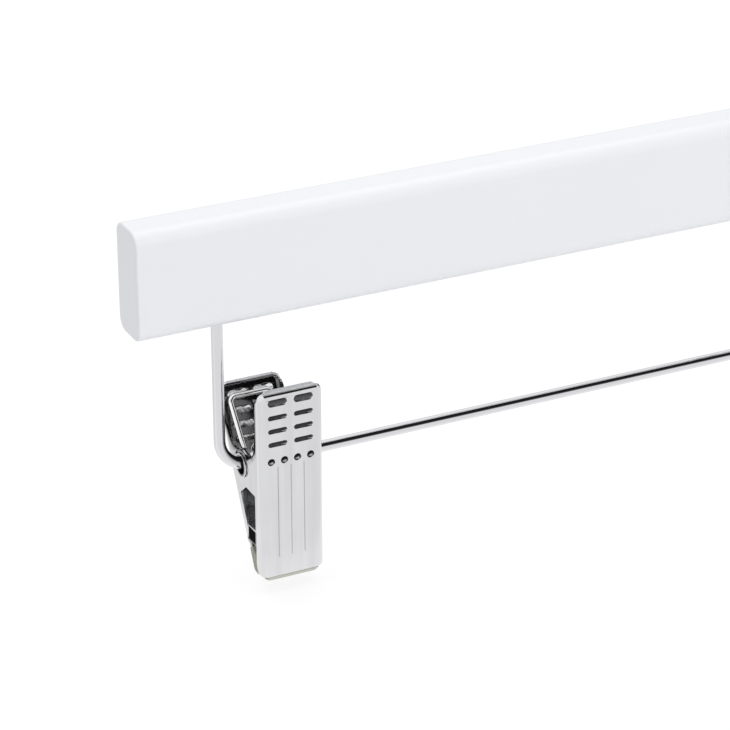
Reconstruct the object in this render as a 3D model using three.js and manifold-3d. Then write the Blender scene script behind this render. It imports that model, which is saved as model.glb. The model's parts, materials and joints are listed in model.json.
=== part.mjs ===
// A trouser hanger: a flat lacquered bar with a swivel hook on top and a bent wire rail below,
// along which two sprung metal clips slide, swing and open.
// Millimetres, +Z up, X along the bar, -Y towards the front of the clips.
// The origin is the hook's seat, the inside of its crown, where a closet rod touches it.

import * as THREE from 'three';
import { mergeVertices } from 'three/addons/utils/BufferGeometryUtils.js';
import Module from 'manifold-3d';

const wasm = await Module();
wasm.setup();

// Driving dimensions: the bar
const BAR_LENGTH = 356;
const BAR_DEPTH = 12;
const BAR_HEIGHT = 27.1;
const BAR_EDGE_RADIUS = 3.2;

// Driving dimensions: the hook and what holds it in the bar
const HOOK_WIRE = 3.6;
const HOOK_RADIUS = 20;
const HOOK_LEAN = 60;
const HOOK_TIP_ANGLE = 200;
const HOOK_STEM = 9.45;
const HOOK_TAIL = 1;
const BUSH_WALL = 0.9;
const BUSH_LENGTH = 9;
const BUSH_FLANGE_RADIUS = 3.5;
const BUSH_FLANGE = 0.8;
const WASHER_RADIUS = 4;
const WASHER_THICKNESS = 0.6;
const NUT_ACROSS_FLATS = 6;
const NUT_HEIGHT = 2.4;
const NUT_POCKET = 5.2;

// Driving dimensions: the rail
const RAIL_WIRE = 2.8;
const RAIL_INSET = 21.7;
const RAIL_DROP = 39.35;
const RAIL_BEND_RADIUS = 7.5;
const RAIL_SOCKET = 15;

// Driving dimensions: the clips
const JAW_WIDTH = 17;
const CLIP_ON_BEND = 1.9;
const SHEET = 0.6;
const SHEET_BEND_RADIUS = 1.5;
const PIVOT_OFFSET = 9.8;
const JAW_ANGLE = 26.9;
const JAW_REACH = 26.45;
const FRONT_HANDLE = 22.65;
const REAR_HANDLE = 20.25;
const LIP_RADIUS = 0.9;
const LIP_TAIL = 1.5;
const CORNER_RADIUS = 1.8;
const FLANGE_HANDLE = 2.1;
const FLANGE_DROP = 1.8;
const FRONT_FLANGE = 2.3;
const FRONT_FLANGE_TIP = 2;
const REAR_FLANGE = 3.1;
const REAR_FLANGE_TIP = 1;
const EAR_MARGIN = 0.95;
const EAR_RISE = 8.5;
const EAR_FOOT = 5.3;
const FRONT_EAR_FALL = 0.3;
const REAR_EAR_FALL = 1.8;
const EAR_ARC_START = -50;
const EAR_ARC_END = 112;
const FLANGE_STEP = 16.2;

// Driving dimensions: the pressed pattern on each jaw, measured down from its top edge
const SLOT_LENGTH = 5;
const SLOT_HEIGHT = 1.35;
const SLOT_SPREAD = 6.7;
const SLOT_DROP = 6.7;
const SLOT_PITCH = 3.5;
const SLOT_ROWS = 3;
const SLOT_DEPTH = 0.55;
const TALL_SLOT_HEIGHT = 2;
const TALL_SLOT_DROP = 2.85;
const DOT_RADIUS = 0.8;
const DOT_DEPTH = 0.4;
const DOT_DROP = 18.2;
const DOT_PITCH = 3.4;
const DOT_COUNT = 4;
const GROOVE_DROP = 19.4;
const GROOVE_WIDTH = 0.4;
const GROOVE_DEPTH = 0.15;
const GROOVE_END = 4.8;

// Driving dimensions: pivot tube, spring and grip pads
const TUBE_WALL = 0.35;
const TUBE_RIM_WIDTH = 0.3;
const TUBE_RIM_THICKNESS = 0.3;
const TUBE_HANG = 0.3;
const SPRING_WIRE = 1.1;
const SPRING_TURNS = 2;
const SPRING_FRONT_LEG = 11.5;
const SPRING_REAR_LEG = 16.3;
const SPRING_BRIDGE = 11.2;
const SPRING_TIPS = 2.8;
const SPRING_BEND_RADIUS = 1.6;
const PAD_HEIGHT = 7.4;
const PAD_LIP = 0.6;
const PAD_TOP_THICKNESS = 1.8;
const PAD_SHOULDER = 2.5;

// Clearances
const SEAT_GAP = 0.3;
const RAIL_CLEARANCE = 1.1;
const EAR_CLEARANCE = 0.2;
const COIL_CLEARANCE = 0.65;

// Facets on round stretches
const WIRE_SIDES = 12;
const BEND_STEPS = 6;
const WIRE_BEND_STEPS = 8;
const SLOT_STEPS = 3;
const ROUND_SIDES = 24;
const COIL_STEPS = 8;
const COIL_SIDES = 5;

const radians = THREE.MathUtils.degToRad;
const OVERCUT = 1;
const MERGE_DISTANCE = 1e-4;

// Heights of the main lines, from the hook's seat down
const bowlHeight = HOOK_WIRE / 2 - HOOK_RADIUS;
const lean = radians(HOOK_LEAN);
const neckRadius = HOOK_RADIUS * Math.cos(lean) / (1 - Math.cos(lean));
const neckHeight = bowlHeight - (HOOK_RADIUS + neckRadius) * Math.sin(lean);
const barTop = neckHeight - HOOK_STEM;
const barBottom = barTop - BAR_HEIGHT;
const railHeight = barBottom - RAIL_DROP;

// Radii and places that several pieces share
const legX = BAR_LENGTH / 2 - RAIL_INSET;
const hookBore = HOOK_WIRE / 2 + SEAT_GAP;
const bushRadius = hookBore + BUSH_WALL;
const pocketTop = barBottom + NUT_POCKET;
const tubeBore = RAIL_WIRE / 2 + RAIL_CLEARANCE;
const tubeRadius = tubeBore + TUBE_WALL;
const earHole = tubeRadius + EAR_CLEARANCE;
const earRadius = earHole + EAR_MARGIN;
const coilRadius = tubeRadius + COIL_CLEARANCE + SPRING_WIRE / 2;
const stagger = SHEET + SEAT_GAP;
const jawHalf = JAW_WIDTH / 2;
const clipHalf = (JAW_WIDTH + stagger) / 2;
const clipX = legX - RAIL_BEND_RADIUS + CLIP_ON_BEND - clipHalf;

// Surface finishes
const lacquer = new THREE.MeshStandardMaterial({ color: 0xeeeff2, roughness: 0.35, metalness: 0 });
const chrome = new THREE.MeshStandardMaterial({ color: 0xd8d9dc, roughness: 0.12, metalness: 1 });
const zinc = new THREE.MeshStandardMaterial({ color: 0xb9bcc0, roughness: 0.3, metalness: 1 });
const blackSteel = new THREE.MeshStandardMaterial({ color: 0x2c2d30, roughness: 0.45, metalness: 1 });
const springSteel = new THREE.MeshStandardMaterial({ color: 0xe2e3e6, roughness: 0.2, metalness: 1 });
const softVinyl = new THREE.MeshStandardMaterial({ color: 0xa3a394, roughness: 0.5, metalness: 0 });

// A wire's centreline, drawn from one end: a straight run is one step, a bend or a coil several
class WirePath extends THREE.Curve {
  constructor(start, heading) {
    super();
    this.points = [start.clone()];
    this.headings = [heading.clone().normalize()];
  }

  get steps() {
    return this.points.length - 1;
  }

  get end() {
    return this.points.at(-1);
  }

  get heading() {
    return this.headings.at(-1);
  }

  straight(length) {
    this.points.push(this.end.clone().addScaledVector(this.heading, length));
    this.headings.push(this.heading.clone());
    return this;
  }

  // Turns about an axis through the centre, and advances along that axis by the climb
  bend(centre, axis, angle, steps, climb = 0) {
    const arm = this.end.clone().sub(centre);
    const heading = this.heading.clone();
    for (let step = 1; step <= steps; step += 1) {
      const turn = angle * step / steps;
      const point = arm.clone().applyAxisAngle(axis, turn).add(centre);
      this.points.push(point.addScaledVector(axis, climb * step / steps));
      this.headings.push(heading.clone().applyAxisAngle(axis, turn));
    }
    return this;
  }

  getPoint(t) {
    return this.points[Math.round(t * this.steps)].clone();
  }

  getTangent(t) {
    return this.headings[Math.round(t * this.steps)].clone();
  }

  getUtoTmapping(u) {
    return u;
  }
}

const X_AXIS = new THREE.Vector3(1, 0, 0);
const Y_AXIS = new THREE.Vector3(0, 1, 0);
const Z_AXIS = new THREE.Vector3(0, 0, 1);
const DOWN = new THREE.Vector3(0, 0, -1);

function circle(radius, sides, x = 0, y = 0) {
  const corners = [];
  for (let side = 0; side < sides; side += 1) {
    const angle = 2 * Math.PI * side / sides;
    corners.push(new THREE.Vector2(x + radius * Math.cos(angle), y + radius * Math.sin(angle)));
  }
  return new THREE.Shape(corners);
}

function wire(path, diameter, sides) {
  const section = circle(diameter / 2, sides);
  return new THREE.ExtrudeGeometry(section, { steps: path.steps, extrudePath: path });
}

function roundedRectangle(width, height, radius) {
  const x = width / 2;
  const y = height / 2;
  const shape = new THREE.Shape();
  shape.moveTo(x, radius - y);
  shape.absarc(x - radius, y - radius, radius, 0, Math.PI / 2);
  shape.absarc(radius - x, y - radius, radius, Math.PI / 2, Math.PI);
  shape.absarc(radius - x, radius - y, radius, Math.PI, 1.5 * Math.PI);
  shape.absarc(x - radius, radius - y, radius, 1.5 * Math.PI, 2 * Math.PI);
  return shape;
}

// Prisms along each axis: the shape's own x and y become Y and Z, X and Z, or X and Y
function prismAlongX(shape, from, to, curveSegments = BEND_STEPS) {
  const geometry = new THREE.ExtrudeGeometry(shape, { depth: to - from, bevelEnabled: false, curveSegments });
  geometry.applyMatrix4(new THREE.Matrix4().makeBasis(Y_AXIS, Z_AXIS, X_AXIS));
  return geometry.translate(from, 0, 0);
}

function prismAlongY(shape, from, to, curveSegments = BEND_STEPS) {
  const geometry = new THREE.ExtrudeGeometry(shape, { depth: to - from, bevelEnabled: false, curveSegments });
  geometry.applyMatrix4(new THREE.Matrix4().makeBasis(X_AXIS, Z_AXIS, Y_AXIS.clone().negate()));
  return geometry.translate(0, to, 0);
}

function prismAlongZ(shape, from, to, curveSegments = BEND_STEPS) {
  const geometry = new THREE.ExtrudeGeometry(shape, { depth: to - from, bevelEnabled: false, curveSegments });
  return geometry.translate(0, 0, from);
}

// A ring turned about Z from its closed half section of [radius, height] corners
function ring(corners, sides = ROUND_SIDES) {
  const profile = corners.map(([radius, height]) => new THREE.Vector2(radius, height));
  profile.push(profile[0].clone());
  return new THREE.LatheGeometry(profile, sides).rotateX(Math.PI / 2);
}

function solid(geometry) {
  const bare = geometry.index ? geometry.toNonIndexed() : geometry.clone();
  bare.deleteAttribute('normal');
  bare.deleteAttribute('uv');
  const merged = mergeVertices(bare, MERGE_DISTANCE);
  const vertProperties = new Float32Array(merged.attributes.position.array);
  const triVerts = new Uint32Array(merged.index.array);
  return new wasm.Manifold(new wasm.Mesh({ numProp: 3, vertProperties, triVerts }));
}

function surface(manifold) {
  const mesh = manifold.getMesh();
  const geometry = new THREE.BufferGeometry();
  geometry.setAttribute('position', new THREE.BufferAttribute(new Float32Array(mesh.vertProperties), 3));
  geometry.setIndex(new THREE.BufferAttribute(new Uint32Array(mesh.triVerts), 1));
  return geometry;
}

function cutAll(body, geometries) {
  return geometries.reduce((rest, geometry) => rest.subtract(solid(geometry)), body);
}

function piece(name, geometry, material) {
  const mesh = new THREE.Mesh(geometry, material);
  mesh.name = name;
  return mesh;
}

// The bar: a rounded plank, bored for the hook from above and below and for the rail's two legs
function hangerBar() {
  const section = roundedRectangle(BAR_DEPTH, BAR_HEIGHT, BAR_EDGE_RADIUS);
  const plank = prismAlongX(section, -BAR_LENGTH / 2, BAR_LENGTH / 2);
  plank.translate(0, 0, barTop - BAR_HEIGHT / 2);
  const flangeSeat = circle(BUSH_FLANGE_RADIUS + SEAT_GAP, ROUND_SIDES);
  const bushHole = circle(bushRadius + SEAT_GAP, ROUND_SIDES);
  const stemHole = circle(hookBore, ROUND_SIDES);
  const nutPocket = circle(WASHER_RADIUS + SEAT_GAP, ROUND_SIDES);
  const cuts = [
    prismAlongZ(flangeSeat, barTop - BUSH_FLANGE - SEAT_GAP, barTop + OVERCUT),
    prismAlongZ(bushHole, barTop - BUSH_LENGTH - SEAT_GAP, barTop + OVERCUT),
    prismAlongZ(stemHole, barBottom - OVERCUT, barTop + OVERCUT),
    prismAlongZ(nutPocket, barBottom - OVERCUT, pocketTop),
  ];
  for (const side of [-1, 1]) {
    const socket = circle(RAIL_WIRE / 2 + SEAT_GAP, ROUND_SIDES, side * legX, 0);
    cuts.push(prismAlongZ(socket, barBottom - OVERCUT, barBottom + RAIL_SOCKET));
  }
  return surface(cutAll(solid(plank), cuts));
}

// The rail: one wire with a leg at each end that stands in the bar's socket
function railWire() {
  const legTop = new THREE.Vector3(-legX, 0, barBottom + RAIL_SOCKET - SEAT_GAP);
  const bendHeight = railHeight + RAIL_BEND_RADIUS;
  const legLength = legTop.z - bendHeight;
  const bendX = legX - RAIL_BEND_RADIUS;
  const path = new WirePath(legTop, DOWN);
  path.straight(legLength);
  path.bend(new THREE.Vector3(-bendX, 0, bendHeight), Y_AXIS, -Math.PI / 2, WIRE_BEND_STEPS);
  path.straight(2 * bendX);
  path.bend(new THREE.Vector3(bendX, 0, bendHeight), Y_AXIS, -Math.PI / 2, WIRE_BEND_STEPS);
  path.straight(legLength);
  return wire(path, RAIL_WIRE, WIRE_SIDES);
}

// The hook: a stem through the bar, an outward neck, and a bowl centred over the stem
const washerTop = pocketTop - SEAT_GAP;
const nutTop = washerTop - WASHER_THICKNESS - SEAT_GAP;

function hookWire() {
  const stemEnd = new THREE.Vector3(0, 0, nutTop - NUT_HEIGHT - HOOK_TAIL);
  const bowlCentre = new THREE.Vector3(0, 0, bowlHeight);
  const path = new WirePath(stemEnd, Z_AXIS);
  path.straight(neckHeight - stemEnd.z);
  path.bend(new THREE.Vector3(neckRadius, 0, neckHeight), Y_AXIS, lean, WIRE_BEND_STEPS);
  path.bend(bowlCentre, Y_AXIS, -radians(HOOK_TIP_ANGLE + HOOK_LEAN), ROUND_SIDES);
  const tip = new THREE.SphereGeometry(HOOK_WIRE / 2, WIRE_SIDES, BEND_STEPS);
  tip.translate(path.end.x, path.end.y, path.end.z);
  return surface(solid(wire(path, HOOK_WIRE, WIRE_SIDES)).add(solid(tip)));
}

function hookBush() {
  const flangeBottom = barTop - BUSH_FLANGE;
  return ring([
    [hookBore, barTop - BUSH_LENGTH], [bushRadius, barTop - BUSH_LENGTH], [bushRadius, flangeBottom],
    [BUSH_FLANGE_RADIUS, flangeBottom], [BUSH_FLANGE_RADIUS, barTop], [hookBore, barTop],
  ]);
}

function hookWasher() {
  const bottom = washerTop - WASHER_THICKNESS;
  return ring([
    [hookBore, bottom], [WASHER_RADIUS, bottom],
    [WASHER_RADIUS, washerTop], [hookBore, washerTop],
  ]);
}

function hookNut() {
  const hexagon = circle(NUT_ACROSS_FLATS / 2 / Math.cos(Math.PI / 6), 6);
  hexagon.holes.push(circle(hookBore, ROUND_SIDES));
  return prismAlongZ(hexagon, nutTop - NUT_HEIGHT, nutTop);
}

// What sets the two jaws apart: the handle's length and the depth of the flanges
const frontForm = {
  handle: FRONT_HANDLE,
  earFall: FRONT_EAR_FALL,
  flange: FRONT_FLANGE,
  flangeTip: FRONT_FLANGE_TIP,
};
const rearForm = {
  handle: REAR_HANDLE,
  earFall: REAR_EAR_FALL,
  flange: REAR_FLANGE,
  flangeTip: REAR_FLANGE_TIP,
};

// A jaw stands upright about the pivot at the origin, with its outer face at y = -PIVOT_OFFSET
const faceY = -PIVOT_OFFSET;
const innerFaceY = faceY + SHEET;

// The sheet's plan: a flat face with both sides bent back square
function jawPlan() {
  const depth = PIVOT_OFFSET + earRadius + OVERCUT;
  const outer = SHEET_BEND_RADIUS;
  const inner = SHEET_BEND_RADIUS - SHEET;
  const bendX = jawHalf - outer;
  const bendY = faceY + outer;
  const plan = new THREE.Shape();
  plan.moveTo(jawHalf, bendY);
  plan.lineTo(jawHalf, faceY + depth);
  plan.lineTo(jawHalf - SHEET, faceY + depth);
  plan.absarc(bendX, bendY, inner, 0, -Math.PI / 2, true);
  plan.absarc(-bendX, bendY, inner, -Math.PI / 2, -Math.PI, true);
  plan.lineTo(SHEET - jawHalf, faceY + depth);
  plan.lineTo(-jawHalf, faceY + depth);
  plan.absarc(-bendX, bendY, outer, Math.PI, 1.5 * Math.PI);
  plan.absarc(bendX, bendY, outer, 1.5 * Math.PI, 2 * Math.PI);
  return plan;
}

// The sides seen square on: a tapering flange with a round ear about the pivot
function jawSide({ handle, earFall, flange, flangeTip }) {
  const earStart = radians(EAR_ARC_START);
  const earEnd = radians(EAR_ARC_END);
  const earFootY = (earRadius + EAR_FOOT * Math.sin(earStart)) / Math.cos(earStart);
  const lipStart = handle - LIP_RADIUS;
  const flangeEnd = handle - FLANGE_DROP;
  const side = new THREE.Shape();
  side.moveTo(faceY, -JAW_REACH);
  side.lineTo(innerFaceY + SEAT_GAP, -JAW_REACH);
  side.lineTo(faceY + flangeTip, flangeTip - JAW_REACH);
  side.lineTo(faceY + flangeTip, -FLANGE_STEP - flange);
  side.lineTo(faceY + flange, -FLANGE_STEP);
  side.lineTo(faceY + flange, -EAR_FOOT - earFall);
  side.lineTo(earFootY, -EAR_FOOT);
  side.absarc(0, 0, earRadius, earStart, earEnd);
  side.quadraticCurveTo(faceY + flange, earRadius, faceY + FLANGE_HANDLE + SHEET, EAR_RISE);
  side.lineTo(faceY + FLANGE_HANDLE, EAR_RISE + FLANGE_HANDLE);
  side.lineTo(faceY + FLANGE_HANDLE - SHEET / 2, flangeEnd - FLANGE_HANDLE - SHEET);
  side.lineTo(innerFaceY + SHEET, flangeEnd - FLANGE_HANDLE / 2);
  side.lineTo(innerFaceY, flangeEnd - SHEET);
  side.lineTo(innerFaceY, lipStart);
  side.lineTo(faceY, lipStart);
  return side;
}

// The top edge rolled back over the handle
function jawLip(handle) {
  const centreY = faceY + LIP_RADIUS;
  const centreZ = handle - LIP_RADIUS;
  const lip = new THREE.Shape();
  lip.moveTo(faceY, centreZ - SHEET);
  lip.lineTo(innerFaceY, centreZ - SHEET);
  lip.absarc(centreY, centreZ, LIP_RADIUS - SHEET, Math.PI, Math.PI / 2, true);
  lip.lineTo(centreY + LIP_TAIL, handle - SHEET);
  lip.lineTo(centreY + LIP_TAIL, handle);
  lip.absarc(centreY, centreZ, LIP_RADIUS, Math.PI / 2, Math.PI);
  return lip;
}

function slotShape(height, x, z) {
  const shape = new THREE.Shape();
  const radius = height / 2;
  const run = SLOT_LENGTH / 2 - radius;
  shape.absarc(x + run, z, radius, -Math.PI / 2, Math.PI / 2);
  shape.absarc(x - run, z, radius, Math.PI / 2, 1.5 * Math.PI);
  return shape;
}

// A slot pressed in along its upper edge, so that its floor slopes out to the face at the lower edge
// and the back bulges by as much
function pressedSlot(height, x, z) {
  const low = z - height / 2;
  const high = z + height / 2;
  const wall = SHEET / 2;
  const half = SLOT_LENGTH / 2;
  const floor = new THREE.Shape();
  floor.moveTo(faceY - OVERCUT, low);
  floor.lineTo(faceY, low);
  floor.lineTo(faceY + SLOT_DEPTH, high);
  floor.lineTo(faceY - OVERCUT, high);
  const back = new THREE.Shape();
  back.moveTo(innerFaceY - wall, low);
  back.lineTo(innerFaceY, low);
  back.lineTo(innerFaceY + SLOT_DEPTH, high);
  back.lineTo(innerFaceY + SLOT_DEPTH, high + wall);
  back.lineTo(innerFaceY - wall, high + wall);
  const opening = prismAlongY(slotShape(height, x, z), faceY - OVERCUT, innerFaceY, SLOT_STEPS);
  return {
    hollow: solid(prismAlongX(floor, x - half, x + half)).intersect(solid(opening)),
    bulge: solid(prismAlongX(back, x - half - wall, x + half + wall)),
  };
}

function jawSlots(handle) {
  const slots = [];
  for (const side of [-1, 1]) {
    const x = side * SLOT_SPREAD / 2;
    slots.push(pressedSlot(TALL_SLOT_HEIGHT, x, handle - TALL_SLOT_DROP));
    for (let row = 0; row < SLOT_ROWS; row += 1) {
      slots.push(pressedSlot(SLOT_HEIGHT, x, handle - SLOT_DROP - row * SLOT_PITCH));
    }
  }
  return slots;
}

// Dots and grooves pressed into the face
function jawMarks(handle) {
  const cuts = [];
  for (let dot = 0; dot < DOT_COUNT; dot += 1) {
    const x = (dot - (DOT_COUNT - 1) / 2) * DOT_PITCH;
    const shape = circle(DOT_RADIUS, WIRE_SIDES, x, handle - DOT_DROP);
    cuts.push(prismAlongY(shape, faceY - OVERCUT, faceY + DOT_DEPTH));
  }
  const grooveTop = handle - GROOVE_DROP;
  const grooveLength = grooveTop + JAW_REACH - GROOVE_END;
  for (let groove = 1; groove < DOT_COUNT; groove += 1) {
    const cut = new THREE.BoxGeometry(GROOVE_WIDTH, 2 * GROOVE_DEPTH, grooveLength);
    cuts.push(cut.translate((groove - DOT_COUNT / 2) * DOT_PITCH, faceY, grooveTop - grooveLength / 2));
  }
  return cuts;
}

function jaw(form) {
  const { handle } = form;
  const lipStart = handle - LIP_RADIUS;
  const height = handle + JAW_REACH;
  const depthEnd = earRadius + OVERCUT;
  const front = roundedRectangle(JAW_WIDTH, height, CORNER_RADIUS);
  const frontBlock = prismAlongY(front, faceY - OVERCUT, depthEnd).translate(0, 0, height / 2 - JAW_REACH);
  const sideBlock = prismAlongX(jawSide(form), -jawHalf - OVERCUT, jawHalf + OVERCUT);
  let body = solid(prismAlongZ(jawPlan(), -JAW_REACH, lipStart)).intersect(solid(sideBlock));
  body = body.add(solid(prismAlongX(jawLip(handle), -jawHalf, jawHalf))).intersect(solid(frontBlock));
  for (const { hollow, bulge } of jawSlots(handle)) {
    body = body.add(bulge).subtract(hollow);
  }
  const pivotHole = prismAlongX(circle(earHole, ROUND_SIDES), -jawHalf - OVERCUT, jawHalf + OVERCUT);
  return surface(cutAll(body, [pivotHole, ...jawMarks(handle)]));
}

// The grip pad: a soft block behind the jaw's tip, with a lip under the metal edge
function gripPad() {
  const padHalf = jawHalf - SHEET - SEAT_GAP;
  const slope = Math.tan(radians(JAW_ANGLE / 2));
  const gripY = (z) => z * slope - SEAT_GAP / 2;
  const top = PAD_HEIGHT - JAW_REACH;
  const bottom = -JAW_REACH - SEAT_GAP - PAD_LIP;
  const backY = innerFaceY + SEAT_GAP;
  const profile = new THREE.Shape();
  profile.moveTo(backY, top);
  profile.lineTo(backY, -JAW_REACH - SEAT_GAP);
  profile.lineTo(faceY + SHEET / 2, -JAW_REACH - SEAT_GAP);
  profile.lineTo(faceY + SHEET / 2, bottom);
  profile.lineTo(gripY(bottom), bottom);
  profile.lineTo(gripY(top - PAD_SHOULDER), top - PAD_SHOULDER);
  profile.lineTo(backY + PAD_TOP_THICKNESS, top);
  return prismAlongX(profile, -padHalf, padHalf);
}

// The hollow pivot on the rail, with a rolled rim outside each ear
function pivotTube() {
  const rimRadius = tubeRadius + TUBE_RIM_WIDTH;
  const rimInside = clipHalf + SEAT_GAP;
  const end = rimInside + TUBE_RIM_THICKNESS;
  const tube = ring([
    [tubeBore, -end], [rimRadius, -end], [rimRadius, -rimInside], [tubeRadius, -rimInside],
    [tubeRadius, rimInside], [rimRadius, rimInside], [rimRadius, end], [tubeBore, end],
  ]);
  return tube.rotateY(Math.PI / 2);
}

// Where a spring leg, drawn in a jaw's upright frame, leaves the coil for the inside of the handle
function springLeg(rise) {
  const seat = new THREE.Vector2(innerFaceY + SEAT_GAP + SPRING_WIRE / 2, rise);
  const angle = Math.atan2(seat.y, seat.x) + Math.acos(coilRadius / seat.length());
  const length = Math.sqrt(seat.lengthSq() - coilRadius ** 2);
  return { seat, angle, length };
}

// The spring: two coils on the pivot tube, a bridge behind the rear handle, two tips on the front one
function springPath() {
  const tilt = radians(JAW_ANGLE);
  const front = springLeg(SPRING_FRONT_LEG);
  const rear = springLeg(SPRING_REAR_LEG);
  const rearAngle = 3 * Math.PI - rear.angle - tilt;
  const sweep = rearAngle - front.angle + 2 * Math.PI * SPRING_TURNS;
  const coilSteps = Math.round(sweep / (2 * Math.PI) * COIL_STEPS);
  const climb = (SPRING_BRIDGE - SPRING_TIPS) / 2;
  const tip = new THREE.Vector3(-SPRING_TIPS / 2, front.seat.x, front.seat.y);
  const leave = new THREE.Vector3(0, Math.cos(front.angle), Math.sin(front.angle)).multiplyScalar(coilRadius);
  leave.x = tip.x;
  const path = new WirePath(tip, leave.clone().sub(tip));
  const pivot = new THREE.Vector3(0, 0, 0);
  path.straight(front.length);
  path.bend(pivot, X_AXIS, sweep, coilSteps, -climb);
  path.straight(rear.length - SPRING_BEND_RADIUS);
  const bendAxis = new THREE.Vector3().crossVectors(path.heading, X_AXIS).normalize();
  const firstCentre = path.end.clone().addScaledVector(X_AXIS, SPRING_BEND_RADIUS);
  path.bend(firstCentre, bendAxis, Math.PI / 2, BEND_STEPS);
  path.straight(SPRING_BRIDGE - 2 * SPRING_BEND_RADIUS);
  const secondCentre = firstCentre.clone();
  secondCentre.x = -firstCentre.x;
  path.bend(secondCentre, bendAxis, Math.PI / 2, BEND_STEPS);
  path.straight(rear.length - SPRING_BEND_RADIUS);
  path.bend(pivot, X_AXIS, -sweep, coilSteps, -climb);
  path.straight(front.length);
  return path;
}

// The least gap between two stretches of one wire, on points along it, past a bend's own width
function leastGap(path, diameter) {
  const points = [];
  for (let step = 0; step < path.steps; step += 1) {
    const from = path.points[step];
    const to = path.points[step + 1];
    const parts = Math.ceil(from.distanceTo(to) / (diameter / 4));
    for (let part = 0; part < parts; part += 1) {
      points.push(from.clone().lerp(to, part / parts));
    }
  }
  const nearby = Math.ceil(Math.PI * coilRadius / (diameter / 4));
  let least = Infinity;
  points.forEach((point, index) => {
    for (let other = index + nearby; other < points.length; other += 1) {
      least = Math.min(least, point.distanceTo(points[other]));
    }
  });
  return least - diameter;
}

const springCurve = springPath();
console.log(`least gap of the spring to itself: ${leastGap(springCurve, SPRING_WIRE).toFixed(2)} mm`);

// One clip about its pivot: the jaws face each other, set one sheet aside so that seen from its own
// front each jaw's left ear laps over the other's right ear
function clip(side) {
  const group = new THREE.Group();
  group.add(piece(`${side}_pivot_tube`, pivotTube(), blackSteel));
  group.add(piece(`${side}_spring`, wire(springCurve, SPRING_WIRE, COIL_SIDES), springSteel));
  const front = new THREE.Group();
  front.position.x = -stagger / 2;
  front.add(piece(`${side}_front_jaw`, jaw(frontForm), chrome));
  front.add(piece(`${side}_front_pad`, gripPad(), softVinyl));
  const rear = new THREE.Group();
  rear.position.x = stagger / 2;
  rear.rotation.set(-radians(JAW_ANGLE), 0, Math.PI, 'XYZ');
  rear.add(piece(`${side}_rear_jaw`, jaw(rearForm), chrome));
  rear.add(piece(`${side}_rear_pad`, gripPad(), softVinyl));
  group.add(front, rear);
  return group;
}

const hanger = new THREE.Group();
hanger.add(piece('hanger_bar', hangerBar(), lacquer));
hanger.add(piece('rail_wire', railWire(), chrome));
hanger.add(piece('hook', hookWire(), chrome));
hanger.add(piece('hook_bush', hookBush(), chrome));
hanger.add(piece('hook_washer', hookWasher(), zinc));
hanger.add(piece('hook_nut', hookNut(), zinc));

for (const [side, direction] of [['left', -1], ['right', 1]]) {
  const group = clip(side);
  group.position.set(direction * clipX, 0, railHeight - TUBE_HANG);
  hanger.add(group);
}

export default hanger;
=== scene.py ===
# A trouser hanger with two sprung clips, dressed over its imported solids.
# Metres, +Z up, X along the bar, -Y towards the front of the clips.

import json
import math

import bmesh
import bpy
from mathutils import Matrix, Vector


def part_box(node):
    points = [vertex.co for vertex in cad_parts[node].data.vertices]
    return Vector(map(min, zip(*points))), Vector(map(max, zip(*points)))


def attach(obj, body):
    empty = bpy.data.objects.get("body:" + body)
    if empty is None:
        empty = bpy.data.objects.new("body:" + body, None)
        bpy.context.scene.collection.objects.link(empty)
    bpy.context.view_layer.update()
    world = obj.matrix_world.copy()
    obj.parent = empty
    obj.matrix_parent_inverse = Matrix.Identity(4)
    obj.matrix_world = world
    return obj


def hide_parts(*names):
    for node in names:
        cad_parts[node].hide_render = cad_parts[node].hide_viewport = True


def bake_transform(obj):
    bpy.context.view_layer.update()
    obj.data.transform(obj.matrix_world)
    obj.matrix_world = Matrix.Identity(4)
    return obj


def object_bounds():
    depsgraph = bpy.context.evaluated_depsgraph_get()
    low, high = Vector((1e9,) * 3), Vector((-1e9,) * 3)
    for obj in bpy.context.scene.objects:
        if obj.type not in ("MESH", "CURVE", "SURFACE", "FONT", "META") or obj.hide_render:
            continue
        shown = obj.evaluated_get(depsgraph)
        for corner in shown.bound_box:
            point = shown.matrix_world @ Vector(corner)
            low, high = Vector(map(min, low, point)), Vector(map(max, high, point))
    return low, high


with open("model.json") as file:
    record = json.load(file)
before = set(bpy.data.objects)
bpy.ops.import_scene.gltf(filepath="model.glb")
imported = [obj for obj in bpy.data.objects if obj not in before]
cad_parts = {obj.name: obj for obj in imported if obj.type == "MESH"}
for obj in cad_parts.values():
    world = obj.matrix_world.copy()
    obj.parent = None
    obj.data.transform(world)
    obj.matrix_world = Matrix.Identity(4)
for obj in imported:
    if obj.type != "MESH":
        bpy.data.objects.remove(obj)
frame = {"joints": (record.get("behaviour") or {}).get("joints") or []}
solid_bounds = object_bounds()


# The photographer's stand: a long lens off the bar's left end, looking a little down on the hanger,
# whose clips hang just clear of a white table top.
VIEW_AZIMUTH = math.radians(-26.047)
VIEW_HEIGHT = math.radians(25.66)
VIEW_ROLL = math.radians(-0.117)
FOCAL_PIXELS = 3008
PHOTO_PIXELS = 730
SENSOR_WIDTH = 36
NEAREST_SEEN = 0.01
EYE_FROM_BAR_CORNER = Vector((-0.22585, -0.58505, 0.29271))

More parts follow.
